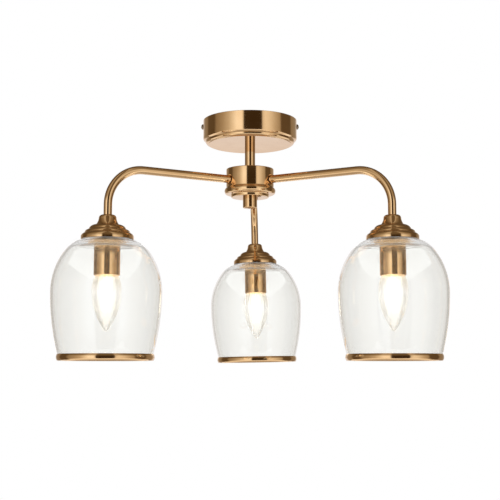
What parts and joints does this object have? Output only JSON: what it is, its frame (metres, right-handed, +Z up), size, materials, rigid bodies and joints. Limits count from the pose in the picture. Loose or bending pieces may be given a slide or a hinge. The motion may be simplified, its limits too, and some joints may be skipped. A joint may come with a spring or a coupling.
{
  "type": "semi flush ceiling light",
  "caption": "Semi flush ceiling light: round rose, short stem and hub with bent brass arms, each with a clear glass bell shade, brass rim ring and candle lamp",
  "frame": {"origin": "on the ceiling plane at the middle of the ceiling rose, the centre of the two ceiling screw slots; everything hangs below it", "axes": "+Z points up, square to the ceiling; +X runs along the mounting strap towards the right, midway between the right and left arms; +Y points to the back, along the back arm"},
  "size_m": [0.4654, 0.4202, 0.3079],
  "materials": {
    "antique_brass": "satin antique brass, lacquered",
    "clear_glass": "clear blown glass, polished",
    "zinc_plated_steel": "bright zinc plated steel",
    "dark_steel_screw": "dark bronzed steel",
    "terminal_moulding": "white moulded polyamide",
    "holder_moulding": "white moulded thermoset",
    "contact_brass": "bright stamped brass",
    "clear_gasket": "translucent silicone",
    "lamp_glass": "clear lamp glass, lit",
    "lamp_cap": "nickel plated lamp cap",
    "lamp_contact": "black vitrite with a tinned button",
    "lamp_filament": "glowing filament strips"
  },
  "bodies": {
    "root": {"back_arm_tube": "antique_brass", "back_centre_contact": "contact_brass", "back_contact_shell": "contact_brass", "back_glass_shade": "clear_glass", "back_holder_body": "holder_moulding", "back_holder_dome": "holder_moulding", "back_holder_sleeve": "antique_brass", "back_neck_collar": "antique_brass", "back_rim_ring": "antique_brass", "back_shade_cap": "antique_brass", "back_shade_gasket": "clear_gasket", "block_screw": "zinc_plated_steel", "ceiling_rose": "antique_brass", "earth_screw": "zinc_plated_steel", "hub_base": "antique_brass", "hub_body": "antique_brass", "hub_finial": "antique_brass", "left_arm_tube": "antique_brass", "left_centre_contact": "contact_brass", "left_contact_shell": "contact_brass", "left_glass_shade": "clear_glass", "left_holder_body": "holder_moulding", "left_holder_dome": "holder_moulding", "left_holder_sleeve": "antique_brass", "left_neck_collar": "antique_brass", "left_rim_ring": "antique_brass", "left_shade_cap": "antique_brass", "left_shade_gasket": "clear_gasket", "lock_nuts": "zinc_plated_steel", "mounting_strap": "zinc_plated_steel", "right_arm_tube": "antique_brass", "right_centre_contact": "contact_brass", "right_contact_shell": "contact_brass", "right_glass_shade": "clear_glass", "right_holder_body": "holder_moulding", "right_holder_dome": "holder_moulding", "right_holder_sleeve": "antique_brass", "right_neck_collar": "antique_brass", "right_rim_ring": "antique_brass", "right_shade_cap": "antique_brass", "right_shade_gasket": "clear_gasket", "rose_screws": "dark_steel_screw", "shakeproof_washers": "zinc_plated_steel", "stem_rod": "zinc_plated_steel", "stem_tube": "antique_brass", "terminal_barrels": "contact_brass", "terminal_block": "terminal_moulding", "terminal_screws": "zinc_plated_steel"},
    "left_bulb_end": {"left_bulb_contact": "lamp_contact"},
    "left_bulb": {"left_bulb_cap": "lamp_cap", "left_bulb_glass": "lamp_glass", "left_filament": "lamp_filament"},
    "right_bulb_end": {"right_bulb_contact": "lamp_contact"},
    "right_bulb": {"right_bulb_cap": "lamp_cap", "right_bulb_glass": "lamp_glass", "right_filament": "lamp_filament"},
    "back_bulb_end": {"back_bulb_contact": "lamp_contact"},
    "back_bulb": {"back_bulb_cap": "lamp_cap", "back_bulb_glass": "lamp_glass", "back_filament": "lamp_filament"}
  },
  "joints": [
    {"name": "left_bulb_travel", "type": "slide", "parent": "root", "child": "left_bulb_end", "axis": [0, 0, -1], "range_m": [0, 0.0141]},
    {"name": "left_bulb_turn", "type": "hinge", "parent": "left_bulb_end", "child": "left_bulb", "pos_m": [-0.16766, -0.0968, -0.1752], "axis": [0, 0, -1], "range_deg": [0, 1800]},
    {"name": "right_bulb_travel", "type": "slide", "parent": "root", "child": "right_bulb_end", "axis": [0, 0, -1], "range_m": [0, 0.0141]},
    {"name": "right_bulb_turn", "type": "hinge", "parent": "right_bulb_end", "child": "right_bulb", "pos_m": [0.16766, -0.0968, -0.1752], "axis": [0, 0, -1], "range_deg": [0, 1800]},
    {"name": "back_bulb_travel", "type": "slide", "parent": "root", "child": "back_bulb_end", "axis": [0.0174, -0.0005, -0.9998], "range_m": [0, 0.0141]},
    {"name": "back_bulb_turn", "type": "hinge", "parent": "back_bulb_end", "child": "back_bulb", "pos_m": [0.00777, 0.19345, -0.17519], "axis": [0.0174, -0.0005, -0.9998], "range_deg": [0, 1800]}
  ],
  "couplings": [
    {"joint": "left_bulb_turn", "follows": "left_bulb_travel", "rad_per_m": 2228.1},
    {"joint": "right_bulb_turn", "follows": "right_bulb_travel", "rad_per_m": 2228.1},
    {"joint": "back_bulb_turn", "follows": "back_bulb_travel", "rad_per_m": 2228.1}
  ]
}
